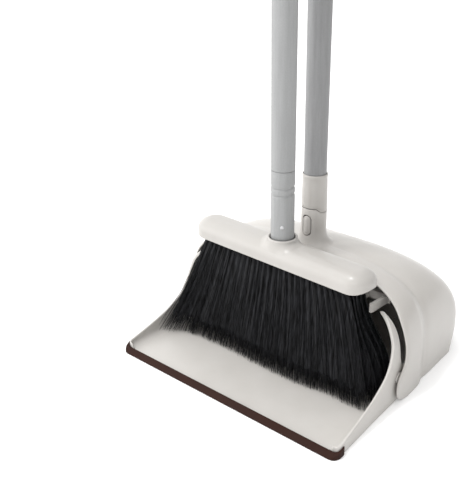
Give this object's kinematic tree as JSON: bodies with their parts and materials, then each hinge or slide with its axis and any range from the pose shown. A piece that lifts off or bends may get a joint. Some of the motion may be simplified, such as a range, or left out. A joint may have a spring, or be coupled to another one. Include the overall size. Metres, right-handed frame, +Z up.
{
  "type": "dust pan and brush set",
  "caption": "Upright broom clipped into a hooded dust pan: pivoting tray with a soft lip, comb teeth, tall round poles, brown grips and hanging rings.",
  "frame": {"origin": "on the floor, at the middle of the bounding box's base", "axes": "+Z up along the poles, -Y towards the pan's lip, +X across the pan"},
  "size_m": [0.249, 0.2332, 1.4006],
  "materials": {
    "pale_plastic": "satin warm light grey moulded plastic",
    "lip_rubber": "dark brown soft lip",
    "brown_plastic": "dark red-brown grips",
    "bristle": "black fine bristle with a soft sheen",
    "painted_tube": "fine-speckled silver-grey powder coat",
    "grey_plug": "grey plastic",
    "steel": "zinc-plated steel"
  },
  "bodies": {
    "pan_frame": {"hood": "pale_plastic", "comb": "pale_plastic", "comb_end_left": "pale_plastic", "comb_end_right": "pale_plastic", "pole_sleeve": "pale_plastic", "button_spring": "steel", "pan_pole_lower": "painted_tube", "pan_pole_joint": "grey_plug", "pan_pole_upper": "painted_tube", "pan_grip": "brown_plastic", "pan_end_cap": "brown_plastic", "pivot_pin_left": "pale_plastic", "pivot_pin_right": "pale_plastic"},
    "tray": {"tray": "pale_plastic", "lip_strip": "lip_rubber"},
    "button": {"release_button": "pale_plastic"},
    "clip": {"pole_clip": "pale_plastic"},
    "pan_ring": {"pan_hang_ring": "pale_plastic"},
    "broom": {"broom_head": "pale_plastic", "tuft_block": "pale_plastic", "bristle_row_1": "bristle", "bristle_row_2": "bristle", "bristle_row_3": "bristle", "bristle_row_4": "bristle", "bristle_row_5": "bristle", "head_screw_left": "steel", "head_screw_right": "steel", "broom_socket": "painted_tube", "socket_rivet": "steel", "broom_pole_lower": "painted_tube", "broom_pole_middle": "painted_tube", "broom_pole_upper": "painted_tube", "broom_joint_1": "grey_plug", "broom_joint_2": "grey_plug", "broom_joint_3": "grey_plug", "broom_grip": "brown_plastic", "broom_end_cap": "brown_plastic"},
    "broom_ring": {"broom_hang_ring": "pale_plastic"}
  },
  "joints": [
    {"name": "tray_tilt", "type": "hinge", "parent": "pan_frame", "child": "tray", "pos_m": [0, -0.015, 0.025], "axis": [-1, 0, 0], "range_deg": [0, 35], "deforming": ["bristle_row_1", "bristle_row_2", "bristle_row_3", "bristle_row_4", "bristle_row_5"]},
    {"name": "button_press", "type": "slide", "parent": "pan_frame", "child": "button", "axis": [0, 1, 0], "range_m": [0, 0.002], "stiffness_N_per_m": 900, "deforming": ["button_spring"]},
    {"name": "clip_slide", "type": "slide", "parent": "pan_frame", "child": "clip", "axis": [0, 0, 1], "range_m": [0, 0.045]},
    {"name": "broom_pull", "type": "slide", "parent": "pan_frame", "child": "broom", "axis": [0, -1, 0], "range_m": [0, 0.16]},
    {"name": "pan_ring_swivel", "type": "hinge", "parent": "pan_frame", "child": "pan_ring", "pos_m": [0, 0.0229, 0.86], "axis": [0, 0, 1], "continuous": true},
    {"name": "broom_ring_swivel", "type": "hinge", "parent": "broom", "child": "broom_ring", "pos_m": [0, -0.0254, 1.37], "axis": [0, 0, 1], "continuous": true}
  ]
}
